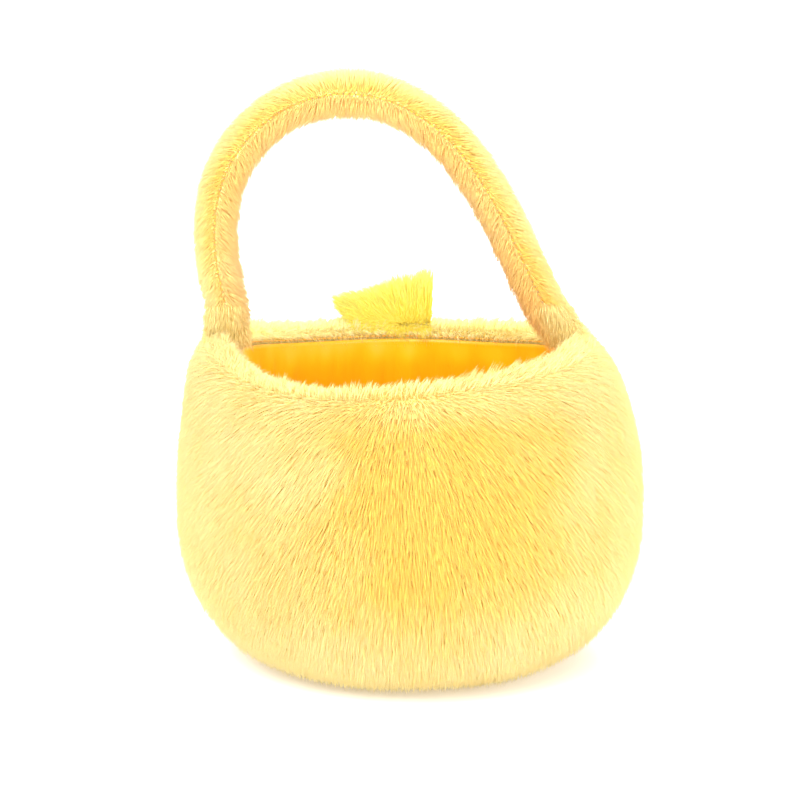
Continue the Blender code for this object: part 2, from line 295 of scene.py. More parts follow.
def backing_material():
    """The knitted backing under the pile, felted over with short hair."""
    material, tree = new_material("fur_backing", rgba(0.95, 0.68, 0.16))
    place_on = tree.place()
    felt = tree.noise(place_on, 900.0, 3.0, 0.7)
    patches = tree.noise(place_on, 26.0, 2.0)
    colour = tree.mix(((patches - 0.5) * 2.2 + 0.4).limited(), rgba(1.0, 0.86, 0.34), rgba(1.0, 0.74, 0.18))
    colour = tree.mix(felt * 0.5, colour, rgba(1.0, 0.92, 0.50))
    # The emission is a painted glow that lifts the shade between the hairs
    surface = tree.node("ShaderNodeBsdfPrincipled", {}, {
        "Base Color": colour, "Roughness": 0.9, "Sheen Weight": 0.4,
        "Normal": tree.bump(felt, 0.6, 0.4 * MM), "Specular IOR Level": 0.1,
        "Emission Color": rgba(1.0, 0.76, 0.2), "Emission Strength": SCATTER_GLOW})
    finish_surface(tree, surface)
    return material


def satin_material():
    """Satin: smooth, softly shining, with a fine twill and slow changes of gloss."""
    material, tree = new_material("satin_lining", rgba(0.98, 0.55, 0.02))
    place_on = tree.place()
    twill = tree.wave(place_on, {"bands_direction": "DIAGONAL"}, scale=900.0, distortion=0.6, detail=1.0)
    slow = tree.noise(place_on, 22.0, 2.0)
    colour = tree.mix(slow, rgba(0.88, 0.39, 0.003), rgba(0.93, 0.46, 0.005))
    tree.finish(base_color=colour, roughness=slow * 0.12 + 0.34, sheen_weight=0.25, anisotropic=0.4,
                sheen_tint=rgba(1, 0.75, 0.1), normal=tree.bump(twill, 0.12, 0.05 * MM))
    return material


def thread_material():
    material, tree = new_material("sewing_thread", rgba(0.98, 0.70, 0.15))
    place_on = tree.place()
    ply = tree.wave(place_on, {"bands_direction": "DIAGONAL"}, scale=1500.0, distortion=1.0)
    colour = tree.mix(ply, rgba(0.88, 0.50, 0.04), rgba(0.99, 0.72, 0.16))
    tree.finish(base_color=colour, roughness=0.5, normal=tree.bump(ply, 0.4, 0.1 * MM))
    return material


def webbing_material():
    """Woven tape: crossed yarns, about a millimetre apart."""
    material, tree = new_material("woven_tape", rgba(0.97, 0.72, 0.20))
    place_on = tree.place()
    yarns = [tree.wave(place_on, {"bands_direction": way}, scale=320.0) for way in ("X", "Z")]
    weave = yarns[0].math("MAXIMUM", yarns[0], yarns[1])
    colour = tree.mix(weave, rgba(0.86, 0.52, 0.06), rgba(0.98, 0.76, 0.24))
    tree.finish(base_color=colour, roughness=0.8, sheen_weight=0.2, normal=tree.bump(weave, 0.5, 0.3 * MM))
    return material


def foam_material():
    material, tree = new_material("foam", rgba(0.92, 0.90, 0.84))
    place_on = tree.place()
    cells = tree.node("ShaderNodeTexVoronoi", {}, {"Vector": place_on, "Scale": 1400.0},
                      output=("Distance",))[0]
    colour = tree.mix(cells, rgba(0.80, 0.76, 0.66), rgba(0.95, 0.93, 0.88))
    tree.finish(base_color=colour, roughness=0.95, normal=tree.bump(cells, 0.5, 0.3 * MM))
    return material


def board_material():
    material, tree = new_material("greyboard", rgba(0.55, 0.45, 0.34))
    place_on = tree.place()
    flecks = tree.noise(place_on, 700.0, 4.0, 0.7)
    colour = tree.mix(flecks, rgba(0.42, 0.34, 0.25), rgba(0.66, 0.56, 0.43))
    tree.finish(base_color=colour, roughness=0.85)
    return material


# The tub's shape

def smooth(value):
    value = np.clip(value, 0.0, 1.0)
    return value * value * (3 - 2 * value)


def rim_height(theta):
    """Height of the rim's crest at an angle round the tub; 0 is +X and -90 degrees is the back."""
    skew = RIM_SKEW * np.sin(2 * theta) * np.maximum(0.0, -np.sin(theta))
    return RIM_Z - RIM_DROP * (1 - np.cos(theta) ** 4) - skew


def placed(r, z, theta):
    """Points of the tub at radius r and nominal height z, with the rim's sag and shift."""
    share = np.maximum(0.0, (z - BELLY_Z) / (RIM_Z - BELLY_Z))
    sag = (rim_height(theta) - RIM_Z) * share * share
    x = RIM_SHIFT * share ** 3 + r * np.cos(theta)
    return np.stack([x, r * np.sin(theta), z + sag], axis=-1)


def arc(centre, reach, rise, start, end, steps, power=2.0):
    """Points (r, z) of a superellipse's arc from start to end degrees, where 0 is outwards and 90 is up."""
    angle = np.radians(np.linspace(start, end, steps))
    c, s = np.cos(angle), np.sin(angle)
    r = centre[0] + np.sign(c) * np.abs(c) ** (2 / power) * reach
    z = centre[1] + np.sign(s) * np.abs(s) ** (2 / power) * rise
    return np.stack([r, z], axis=1)


def spaced(points, count):
    """The polyline's points again, evenly spaced along it."""
    lengths = np.concatenate([[0], np.cumsum(np.linalg.norm(np.diff(points, axis=0), axis=1))])
    wanted = np.linspace(0, lengths[-1], count)
    return np.stack([np.interp(wanted, lengths, points[:, k]) for k in range(points.shape[1])], axis=1)


def fur_outline(count):
    """The fur's outer outline, from the foot round the belly and over the rim to the mouth."""
    roll = RIM_R - MOUTH_R
    corner = arc((FOOT_R + GAP, BELLY_Z), BELLY_R - FOOT_R - GAP, BELLY_Z, -90, 0, 60)
    shoulder = arc((RIM_R, BELLY_Z), BELLY_R - RIM_R, RIM_Z - BELLY_Z, 0, 90, 60, SHOULDER_POWER)
    lip = arc((RIM_R, RIM_Z - roll), roll, roll, 90, 180, 20)
    return spaced(np.concatenate([corner, shoulder[1:], lip[1:]]), count)


def sunk(outline, depth):
    """The outline moved inwards by depth, one value or one for each point."""
    run = np.gradient(outline, axis=0)
    run /= np.linalg.norm(run, axis=1)[:, None]
    inwards = np.stack([-run[:, 1], run[:, 0]], axis=1)
    moved = outline + inwards * np.reshape(depth, (-1, 1))
    moved[:, 0] = np.maximum(moved[:, 0], outline[0, 0])
    return moved


def pile_depth(share):
    """How deep the pile and its backing are, along the outline's share from foot to mouth."""
    return PILE + (RIM_PILE - PILE) * smooth((share - 0.55) / 0.3)


# Meshes

def piece_of(name, vertices, faces, material):
    mesh = bpy.data.meshes.new(name)
    mesh.from_pydata([tuple(v) for v in vertices], [], faces)
    mesh.shade_smooth()
    mesh.materials.append(material)
    made = bpy.data.objects.new(name, mesh)
    bpy.context.scene.collection.objects.link(made)
    return made


def grid_faces(rows, columns, start=0, flipped=False, joined=False):
    """Quads of a grid of rows by columns; joined closes each row into a ring."""
    faces = []
    wide = columns if joined else columns - 1
    for i in range(rows - 1):
        for j in range(wide):
            k = (j + 1) % columns
            quad = (start + i * columns + j, start + i * columns + k,
                    start + (i + 1) * columns + k, start + (i + 1) * columns + j)
            faces.append(quad[::-1] if flipped else quad)
    return faces


def shell_piece(name, outer, inner, material):
    """A closed sheet between two grids (rows, columns, 3) of the same size, outer facing out."""
    rows, columns = outer.shape[:2]
    count = rows * columns
    faces = grid_faces(rows, columns) + grid_faces(rows, columns, count, flipped=True)
    rim = [(0, j) for j in range(columns)]
    rim += [(i, columns - 1) for i in range(1, rows)]
    rim += [(rows - 1, j) for j in range(columns - 2, -1, -1)]
    rim += [(i, 0) for i in range(rows - 2, 0, -1)]
    numbers = [i * columns + j for i, j in rim]
    for a, b in zip(numbers, numbers[1:] + numbers[:1]):
        faces.append((b, a, a + count, b + count))
    return piece_of(name, np.concatenate([outer.reshape(-1, 3), inner.reshape(-1, 3)]), faces, material)


def outward(grid):
    """Unit normals of a grid of points, facing along rows crossed with columns."""
    along_columns = np.gradient(grid, axis=1)
    along_rows = np.gradient(grid, axis=0)
    normal = np.cross(along_columns, along_rows)
    return normal / np.maximum(np.linalg.norm(normal, axis=2, keepdims=True), 1e-12)


def lumps(grid, scale, height):
    """Slow unevenness, as a height for each point of the grid."""
    flat = grid.reshape(-1, 3) / scale
    return np.array([noise.noise(Vector(p)) for p in flat]).reshape(grid.shape[:2]) * height


# Hair

def hair_object(name, rings, bend):
    """One hair from the root at the origin to (1, 0, 1): x is its lean, y its width and z its height."""
    vertices, faces, along, across = [], [], [], []
    for i in range(rings):
        t = i / rings
        x, z = t ** bend, t * (1.3 - 0.3 * t)
        half = 0.5 * (1 - 0.35 * t)
        vertices += [(x + 0.03, 0, z), (x - 0.02, half, z), (x - 0.02, -half, z)]
        along += [t] * 3
        across += [0.5, 0.0, 1.0]
    vertices.append((1, 0, 1))
    along.append(1.0)
    across.append(0.5)
    faces.append((2, 1, 0))
    for i in range(rings - 1):
        for j in range(3):
            a, b = 3 * i + j, 3 * i + (j + 1) % 3
            faces.append((a, b, b + 3, a + 3))
    last = 3 * (rings - 1)
    for j in range(3):
        faces.append((last + j, last + (j + 1) % 3, len(vertices) - 1))
    mesh = bpy.data.meshes.new(name)
    mesh.from_pydata(vertices, [], faces)
    for attribute, values in (("along", along), ("across", across)):
        mesh.attributes.new(attribute, "FLOAT", "POINT").data.foreach_set("value", values)
    return bpy.data.objects.new(name, mesh)


def pile_tree():
    """Geometry nodes that grow two coats of hair on a skin.

    The skin carries comb, the way that its pile leans, whose length is the lean, stand, the height of the
    pile over it, and warm, which is 1 where its colour is golden.
    """
    sockets = (("Skin", "Geometry"), ("Guard hair", "Object"), ("Under hair", "Object"),
               ("Guard density", "Float"), ("Under density", "Float"), ("Guard width", "Float"),
               ("Under width", "Float"), ("Lock size", "Float"), ("Lock pull", "Float"),
               ("Ruffle", "Float"), ("Lowest", "Float"), ("Seed", "Int"), ("Material", "Material"))
    group, tree, value = new_group("pile", sockets, "Hair")
    coats = [hair_coat(tree, value, "Guard", 1.0, 0), hair_coat(tree, value, "Under", 0.84, 7)]
    joined = group.nodes.new("GeometryNodeJoinGeometry")
    for coat in reversed(coats):
        group.links.new(coat.link, joined.inputs[0])
    real = tree.node("GeometryNodeRealizeInstances", {}, {"Geometry": Socket(tree, joined.outputs[0])})
    where = tree.node("GeometryNodeInputPosition")
    x, y, z = tree.node("ShaderNodeSeparateXYZ", {}, {0: where}, output=("X", "Y", "Z"))
    raised = tree.node("ShaderNodeCombineXYZ", {}, {0: x, 1: y, 2: z.math("MAXIMUM", z, value["Lowest"])})
    kept = tree.node("GeometryNodeSetPosition", {}, {"Geometry": real, "Position": raised})
    return closed_group(group, tree, kept, value["Material"])


def hair_coat(tree, value, coat, reach, seed_step):
    """Instances of one kind of hair, pulled together into locks and ruffled."""
    seed = value["Seed"] + seed_step
    points, normal = tree.node(
        "GeometryNodeDistributePointsOnFaces", {"distribute_method": "RANDOM"},
        {"Mesh": value["Skin"], "Density": value[coat + " density"], "Seed": seed},
        output=("Points", "Normal"))
    comb = tree.node("GeometryNodeInputNamedAttribute", {"data_type": "FLOAT_VECTOR"}, {"Name": "comb"})
    stand = tree.node("GeometryNodeInputNamedAttribute", {"data_type": "FLOAT"}, {"Name": "stand"})
    where = tree.node("GeometryNodeInputPosition")
    cell = lock_middle(tree, where, value["Lock size"])
    to_lock = tree.vector("SUBTRACT", cell, where)
    swirl = tree.node("ShaderNodeTexNoise", {}, {"Vector": where, "Scale": 75.0, "Detail": 2.0},
                      output=("Color",))[0]
    swirl = tree.vector("SUBTRACT", swirl, (0.5, 0.5, 0.5))
    stray = tree.node("FunctionNodeRandomValue", {"data_type": "FLOAT_VECTOR"},
                      {"Min": (-1, -1, -1), "Max": (1, 1, 1), "Seed": seed})
    lean = tree.vector("ADD", comb, tree.scaled(to_lock, value["Lock pull"]))
    lean = tree.vector("ADD", lean, tree.scaled(swirl, value["Ruffle"] * 3.0))
    lean = tree.vector("ADD", lean, tree.scaled(stray, value["Ruffle"] * 0.35))
    upwards = tree.vector("DOT_PRODUCT", lean, normal)
    flat = tree.vector("SUBTRACT", lean, tree.scaled(normal, upwards))
    turned = tree.node("FunctionNodeAxesToRotation", {"primary_axis": "Z", "secondary_axis": "X"},
                       {"Primary Axis": normal, "Secondary Axis": flat})
    longer = tree.node("FunctionNodeRandomValue", {"data_type": "FLOAT"},
                       {"Min": 0.78 * reach, "Max": 1.12 * reach, "Seed": seed + 1})
    length = tree.vector("LENGTH", flat)
    size = tree.node("ShaderNodeCombineXYZ", {}, {0: length * longer, 1: value[coat + " width"],
                                                  2: stand * longer})
    hair = tree.node("GeometryNodeObjectInfo", {"transform_space": "ORIGINAL"},
                     {"Object": value[coat + " hair"]}, output=("Geometry",))[0]
    grown = tree.node("GeometryNodeInstanceOnPoints", {}, {
        "Points": points, "Instance": hair, "Rotation": turned, "Scale": size})
    tone = tree.node("FunctionNodeRandomValue", {"data_type": "FLOAT"},
                     {"Min": 0.0, "Max": 1.0, "Seed": seed + 2})
    return tree.node("GeometryNodeStoreNamedAttribute", {"data_type": "FLOAT", "domain": "INSTANCE"},
                     {"Geometry": grown, "Name": "tone", "Value": tone})


def lock_middle(tree, where, size):
    """The middle of the lock that a hair belongs to."""
    return tree.node("ShaderNodeTexVoronoi", {}, {"Vector": where, "Scale": 1.0 / size},
                     output=("Position",))[0]


def evaluated_piece(name, host, group, values):
    """The plain mesh piece that the geometry nodes make of the host, which is then removed."""
    modifier = host.modifiers.new(group.name, "NODES")
    modifier.node_group = group
    for item in group.interface.items_tree:
        if item.in_out == "INPUT" and item.name in values:
            modifier[item.identifier] = values[item.name]
    bpy.context.view_layer.update()
    graph = bpy.context.evaluated_depsgraph_get()
    mesh = bpy.data.meshes.new_from_object(host.evaluated_get(graph))
    mesh.name = name
    bpy.data.objects.remove(host)
    made = bpy.data.objects.new(name, mesh)
    bpy.context.scene.collection.objects.link(made)
    return made


def skin_object(grid, comb, stand, warm):
    """The patch that hair grows on, with the way, height and warmth of its pile at each point."""
    rows, columns = grid.shape[:2]
    made = piece_of("skin", grid.reshape(-1, 3), grid_faces(rows, columns), materials["backing"])
    attribute = made.data.attributes.new("comb", "FLOAT_VECTOR", "POINT")
    attribute.data.foreach_set("vector", comb.reshape(-1).astype(np.float32))
    for name, values in (("stand", stand), ("warm", warm)):
        attribute = made.data.attributes.new(name, "FLOAT", "POINT")
        spread = np.broadcast_to(values, grid.shape[:2]).reshape(-1)
        attribute.data.foreach_set("value", spread.astype(np.float32))
    return made


def fur_mesh(name, grid, comb, stand, warm, seed, material="body_fur", **changes):
    """A patch of fur as a plain mesh piece."""
    values = {
        "Guard hair": guard_hair, "Under hair": under_hair, "Guard density": GUARD_DENSITY,
        "Under density": UNDER_DENSITY, "Guard width": GUARD_WIDTH, "Under width": UNDER_WIDTH,
        "Lock size": 5.5 * MM, "Lock pull": 0.14, "Ruffle": 1.2 * MM, "Lowest": FLOOR_CLEAR,
        "Seed": seed, "Material": materials[material]}
    values.update({key.replace("_", " ").capitalize(): value for key, value in changes.items()})
    made = evaluated_piece(name, skin_object(grid, comb, stand, warm), pile, values)
    lay_out_hairs(made.data)
    "tuft_fur" if material == "tuft_fur" else "body_fur"
    return made


def lay_out_hairs(mesh):
    """A UV map with a small square for each hair, across its width and along its length."""
    values = {}
    for name in ("along", "across"):
        values[name] = np.empty(len(mesh.vertices), np.float32)
        mesh.attributes[name].data.foreach_get("value", values[name])
    ended = values["along"] > 0.999
    hair = np.concatenate([[0], np.cumsum(ended[:-1])])
    side = math.ceil(math.sqrt(hair[-1] + 1))
    u = (hair % side + 0.2 + 0.6 * values["across"]) / side
    v = (hair // side + 0.12 + 0.76 * values["along"]) / side
    corners = np.empty(len(mesh.loops), np.int32)
    mesh.loops.foreach_get("vertex_index", corners)
    squares = mesh.uv_layers.new(name=HAIR_UV)
    squares.data.foreach_set("uv", np.stack([u[corners], v[corners]], axis=1).astype(np.float32).ravel())


def grown_fur(name, body, *patch, **changes):
    """A patch of fur that rides on the body."""
    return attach(fur_mesh(name, *patch, **changes), body)


def add_piece(made, body):
    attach(made, body)
    return made


def turned_piece(name, profile, material, steps=96):
    """A closed solid turned from (r, z) points that start and end on the axis."""
    angles = np.linspace(0, 2 * math.pi, steps, endpoint=False)
    rings = [(r * np.cos(angles), r * np.sin(angles), z + 0 * angles) for r, z in profile[1:-1]]
    vertices = [(0, 0, profile[0][1])]
    for x, y, z in rings:
        vertices += list(zip(x, y, z))
    vertices.append((0, 0, profile[-1][1]))
    top = len(vertices) - 1
    faces = [(0, 1 + (j + 1) % steps, 1 + j) for j in range(steps)]
    faces += grid_faces(len(rings), steps, 1, joined=True)
    last = 1 + (len(rings) - 1) * steps
    faces += [(last + j, last + (j + 1) % steps, top) for j in range(steps)]
    return piece_of(name, vertices, faces, material)


# The tub's fur

OUTLINE_STEPS = 96
HALF_STEPS = 145
TUB_LIE = 8.5 * MM
BACK_WHORL = np.array([-0.004, -0.088, 0.160])
FRONT_WHORL = np.array([0.0, 0.088, 0.160])


def half_turn(side, steps=HALF_STEPS):
    """Angles across the back (-1) or the front (+1) half of the tub."""
    start = math.pi if side < 0 else 0.0
    return np.linspace(start, start + math.pi, steps)


def swept(outline, theta):
    """The outline carried round the tub through the angles, as rows up the outline."""
    r, angle = np.meshgrid(outline[:, 0], theta, indexing="ij")
    z = np.meshgrid(outline[:, 1], theta, indexing="ij")[0]
    return placed(r, z, angle)


def tub_comb(grid, normal, whorl):
    """The way the pile lies: away from the top of the panel's middle, and downwards."""
    away = grid - whorl
    distance = np.linalg.norm(away, axis=2, keepdims=True)
    away = away / np.maximum(distance, 22 * MM)
    flow = away + np.array([0, 0, -1.0]) * (0.30 + 0.45 * smooth(distance / 0.11))
    flow -= normal * np.sum(flow * normal, axis=2, keepdims=True)
    return flow / np.maximum(np.linalg.norm(flow, axis=2, keepdims=True), 0.3)


def tub_warmth_and_painted_light(grid):
    """Golden above the middle of each side, and pale at the rim, the sides and the foot. This is the fur's
    own mottling plus painted light: the paleness towards the rim, the sides and the foot is a painted
    highlight of the light round the edges, and the pale patch left of the middle is a painted highlight
    where the key light falls.
    """
    x, z = grid[..., 0], grid[..., 2]
    # Golden across the middle and high up, pale towards the sides, the foot and the rim: partly a painted
    # highlight of the light round the edges
    across = np.exp(-((x - 8 * MM) / (66 * MM)) ** 2)
    up = smooth((z - 15 * MM) / (65 * MM)) * (1 - 0.85 * smooth((z - 134 * MM) / (18 * MM)))
    patch = 0.35 * np.exp(-((x - 48 * MM) / (22 * MM)) ** 2 - ((z - 104 * MM) / (24 * MM)) ** 2)
    # Painted highlight: a pale patch left of the middle, where the key light falls
    pale = 0.35 * np.exp(-((x + 52 * MM) / (24 * MM)) ** 2 - ((z - 118 * MM) / (26 * MM)) ** 2)
    return 0.08 + 1.08 * across * up + patch - pale


def tub_fur():
    """Both fur panels: a knitted backing each, their pile in sectors, and wisps along the rim."""
    share = np.linspace(0, 1, OUTLINE_STEPS)
    outline = fur_outline(OUTLINE_STEPS)
    rise = share[:, None]
    for side, panel, whorl in ((-1, "back_fur", BACK_WHORL), (1, "front_fur", FRONT_WHORL)):
        theta = half_turn(side)
        outer = swept(sunk(outline, pile_depth(share) - BACKING), theta)
        inner = swept(sunk(outline, pile_depth(share)), theta)
        normal = outward(outer)
        outer = outer + normal * lumps(outer, 38 * MM, 0.6 * MM)[..., None]
        backing = add_piece(shell_piece(panel + "_backing", outer, inner, materials["backing"]), "tub")
        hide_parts(panel + "_panel")
        lie = TUB_LIE * (1 - 0.62 * smooth((rise - 0.84) / 0.10)) * smooth(rise / 0.06 + 0.3)
        stand = (pile_depth(rise) - BACKING + 0.9 * MM) * (1 - 0.45 * smooth((rise - 0.95) / 0.04))
        stand = stand * (0.3 + 0.7 * smooth(rise / 0.16)) + 0 * outer[..., 0]
        comb = tub_comb(outer, normal, whorl)
        over_lip = smooth((rise - 0.935) / 0.02)[..., None] * np.gradient(outer, axis=0)
        over_lip /= np.linalg.norm(np.gradient(outer, axis=0), axis=2, keepdims=True)
        comb = (comb * (1 - smooth((rise - 0.93) / 0.03)[..., None]) + 2.0 * over_lip) * lie[..., None]
        warm = tub_warmth_and_painted_light(outer)
        each = SECTORS // 2
        for i in range(each):
            cut = slice(i * (HALF_STEPS - 1) // each, (i + 1) * (HALF_STEPS - 1) // each + 1)
            patch = (outer[:, cut], comb[:, cut], stand[:, cut], warm[:, cut])
            grown_fur("%s_%d" % (panel, i + 1), "tub", *patch, 11 + i + 5 * side)
        rim_wisps(panel, outer, normal, side)


def rim_wisps(panel, outer, normal, side):
    """Longer hairs that stand up along the rolled rim, lean right and cover the far rim's inner lip."""
    last = 0.995 if side > 0 else 0.965
    rows = slice(int(OUTLINE_STEPS * 0.885), int(OUTLINE_STEPS * last))
    grid, out = outer[rows], normal[rows]
    upright = np.array([0.0, 0.0, 1.0]) - out * out[..., 2:]
    rightwards = np.array([1.0, 0.0, 0.0]) - out * out[..., :1]
    lean = 0.25 + 0.5 * smooth((grid[..., :1] + 0.03) / 0.08)
    rise = np.linspace(0, 1, OUTLINE_STEPS)[rows][:, None, None]
    raised = 0.9 - (1.7 * smooth((rise - 0.955) / 0.03) if side > 0 else 0)
    comb = (upright * raised + rightwards * lean) * 5.5 * MM
    stand = 4.6 * MM + 5.5 * MM * np.abs(lumps(grid, 8 * MM, 1.0))
    # The far rim's wisps take rim_fur, a paler copy of the pile with a stronger painted glow, which lifts
    # the shade on the lip
    return grown_fur(panel + "_wisps", "tub", grid, comb, stand, 0.0, 71 + side,
                     material="rim_fur" if side > 0 else "body_fur",
                     guard_density=1.3e6 if side > 0 else 0.75e6,
                     under_density=2.4e6 if side > 0 else 0.15e6,
                     lock_size=4 * MM, lock_pull=0.6, ruffle=2.4 * MM)


# The lining, the foam and the floor

def lining_outline(count):
    """The lining's outer outline, from its foot up to the seam under the rolled rim."""
    belly = (LINING_FOOT_R + GAP, BELLY_Z + 6 * MM)
    corner = arc(belly, LINING_BELLY_R - belly[0], belly[1] - LINING_FLOOR_Z, -90, 0, 40)
    share = np.linspace(0, 1, 40)[1:]
    r = LINING_BELLY_R - smooth(share) * (LINING_BELLY_R - MOUTH_R - 0.8 * MM)
    throat = np.stack([r, belly[1] + share * (THROAT_Z - belly[1])], axis=1)
    return spaced(np.concatenate([corner, throat]), count)


def lining_folds(grid, height):
    """Soft folds that hang from the rim seam, as a depth for each point of the grid."""
    angle = np.arctan2(grid[..., 1], grid[..., 0] - RIM_SHIFT)
    waves = np.array([noise.noise(Vector((7 * math.cos(a), 7 * math.sin(a), 9 * z)))
                      for a, z in zip(angle.ravel(), grid[..., 2].ravel())]).reshape(angle.shape)
    fine = np.array([noise.noise(Vector((17 * math.cos(a), 17 * math.sin(a), 22 * z)))
                     for a, z in zip(angle.ravel(), grid[..., 2].ravel())]).reshape(angle.shape)
    return height * (0.5 + 0.9 * waves + 0.35 * fine)


def lining():
    """Two satin walls and a satin floor, gathered a little into their seams."""
    rows, columns = 72, 181
    outline = lining_outline(rows)
    share = np.linspace(0, 1, rows)[:, None]
    for side, name in ((-1, "back"), (1, "front")):
        theta = half_turn(side, columns)
        outer = swept(sunk(outline, 0.1 * MM), theta)
        normal = outward(outer)
        free = smooth(share / 0.12) * smooth((1 - share) / 0.10)
        turned = np.linspace(0, 1, columns)[None, :]
        free = free * smooth(turned / 0.03) * smooth((1 - turned) / 0.03)
        outer = outer - normal * (np.clip(lining_folds(outer, 2.6 * MM), 0, None) * free)[..., None]
        inner = outer - normal * LINING_THICK
        wall = add_piece(shell_piece(name + "_lining", outer, inner, materials["satin_lining"]), "tub")
        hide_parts(name + "_lining_panel")
        foam_wall(name, outline, side)
    floor_of_layers()


def foam_wall(name, inside, side):
    """The foam that fills the wall between the fur's backing and the lining."""
    theta = half_turn(side, 61)
    count = 40
    share = np.linspace(0, 1, count)
    outline = fur_outline(count)
    outer = sunk(outline, pile_depth(share) + GAP)
    keep = outer[:, 1] < THROAT_Z - 2 * MM
    keep &= (np.arange(count) < np.argmax(outer[:, 1])) & (outer[:, 1] > LINING_FLOOR_Z)
    outer = spaced(outer[keep], 30)
    inner = spaced(sunk(inside, -GAP), 30)
    inner[:, 1] = np.minimum(inner[:, 1], outer[-1, 1])
    foam = shell_piece(name + "_wall_foam", swept(outer, theta), swept(inner, theta), materials["foam"])
    add_piece(foam, "tub")
    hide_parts(name + "_wall_padding")


def floor_of_layers():
    """The fur that the basket stands on, the foam over the board, and the satin floor."""
    radius = FOOT_R - 2 * THREAD_R - GAP
    low = PILE - BACKING
    backing = turned_piece("base_fur_backing", [(0, low), (radius * 0.5, low), (radius, low),
                                                (radius, PILE), (radius * 0.5, PILE), (0, PILE)],
                           materials["backing"])
    add_piece(backing, "tub")
    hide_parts("base_fur_panel")
    angle, r = np.meshgrid(np.linspace(0, 2 * math.pi, 91), np.linspace(0.4 * MM, radius, 24))
    grid = np.stack([r * np.cos(angle), r * np.sin(angle), 0 * r + low], axis=-1)
    comb = np.stack([np.cos(angle), 0.3 + np.sin(angle), 0 * r], axis=-1) * 5 * MM
    fur = grown_fur("base_fur", "tub", grid, comb, low - FLOOR_CLEAR, 0.25, 91,
                    guard_density=0.3e6, under_density=0.8e6)
    low, high = (corner.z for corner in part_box("base_padding"))
    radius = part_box("base_padding")[1].x
    soft = 1.5 * MM
    foam = turned_piece("base_foam", [(0, low), (radius - soft, low), (radius, low + soft),
                                      (radius, high - soft), (radius - soft, high), (0, high)],
                        materials["foam"])
    add_piece(foam, "tub")
    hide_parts("base_padding")
    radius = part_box("base_lining_panel")[1].x
    rings = np.linspace(0, 1, 26)
    angles = np.linspace(0, 2 * math.pi, 97)
    grid = np.array([[(t * radius * math.cos(a), t * radius * math.sin(a), 0) for a in angles]
                     for t in np.maximum(rings, 0.004)])
    puckers = np.array([noise.noise(Vector((9 * math.cos(a), 9 * math.sin(a), 3 * t)))
                        for t in rings for a in angles]).reshape(grid.shape[:2])
    crown = (0.9 * (1 - rings ** 2) * MM)[:, None] + puckers * 0.8 * MM * (rings ** 2 * (1 - rings))[:, None]
    top = grid + np.stack([0 * crown, 0 * crown, LINING_FLOOR_Z + LINING_THICK + crown], axis=-1)
    satin = pole_disc("base_lining", top[:, :-1], LINING_THICK, materials["satin_lining"])
    add_piece(satin, "tub")
    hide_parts("base_lining_panel")


def pole_disc(name, top, thickness, material):
    """A closed round sheet under a grid of rings, whose first ring shrinks to a pole."""
    rings, steps = top.shape[:2]
    middle = top[0].mean(axis=0)
    under = np.array([0, 0, -thickness])
    vertices = [middle] + list(top[1:].reshape(-1, 3))
    vertices += [middle + under] + list((top[1:] + under).reshape(-1, 3))
    half = 1 + (rings - 1) * steps
    faces = []
    for start, flipped in ((0, True), (half, False)):
        for j in range(steps):
            fan = (start, start + 1 + (j + 1) % steps, start + 1 + j)
            faces.append(fan[::-1] if flipped else fan)
        faces += grid_faces(rings - 1, steps, start + 1, flipped=flipped, joined=True)
    last = 1 + (rings - 2) * steps
    for j in range(steps):
        k = (j + 1) % steps
        faces.append((last + j, last + half + j, last + half + k, last + k))
    return piece_of(name, vertices, faces, material)


# Stitches

STITCH_PITCH = 3.0 * MM
STITCH_LENGTH = 2.7 * MM
RIM_SEAM_IN = 1.2 * MM  # the rim's stitches sit this far into the wall, so that fur covers them
RIM_SEAM_UP = 0.8 * MM
GROOVE_DEPTH = 0.9 * MM


def stitch_tree():
    """Geometry nodes that lay stitches end to end along a route."""
    sockets = (("Route", "Geometry"), ("Pitch", "Float"), ("Length", "Float"), ("Thread radius", "Float"),
               ("Material", "Material"))
    group, tree, value = new_group("stitches", sockets, "Stitches")
    route = tree.node("GeometryNodeMeshToCurve", {}, {"Mesh": value["Route"]})
    points, tangent = tree.node("GeometryNodeCurveToPoints", {"mode": "LENGTH"},
                                {"Curve": route, "Length": value["Pitch"]}, output=("Points", "Tangent"))
    turned = tree.node("FunctionNodeAlignRotationToVector", {"axis": "Z"}, {"Vector": tangent})
    capsule = tree.node("GeometryNodeMeshUVSphere", {}, {"Segments": 6, "Rings": 4, "Radius": 1.0},
                        output=("Mesh",))[0]
    size = tree.node("ShaderNodeCombineXYZ", {}, {0: value["Thread radius"], 1: value["Thread radius"],
                                                  2: value["Length"] * 0.5})
    laid = tree.node("GeometryNodeInstanceOnPoints", {}, {
        "Points": points, "Instance": capsule, "Rotation": turned, "Scale": size})
    real = tree.node("GeometryNodeRealizeInstances", {}, {"Geometry": laid})
    return closed_group(group, tree, real, value["Material"])


def stitched_seam(name, route, radius, body, node):
    """A row of stitches along the route that stands for a seam's thread."""
    mesh = bpy.data.meshes.new("route")
    mesh.from_pydata([tuple(p) for p in route], [(i, i + 1) for i in range(len(route) - 1)], [])
    host = bpy.data.objects.new("route", mesh)
    bpy.context.scene.collection.objects.link(host)
    made = evaluated_piece(name, host, stitches, {
        "Pitch": STITCH_PITCH, "Length": STITCH_LENGTH, "Thread radius": radius,
        "Material": materials["thread"]})
    add_piece(made, body)
    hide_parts(node)


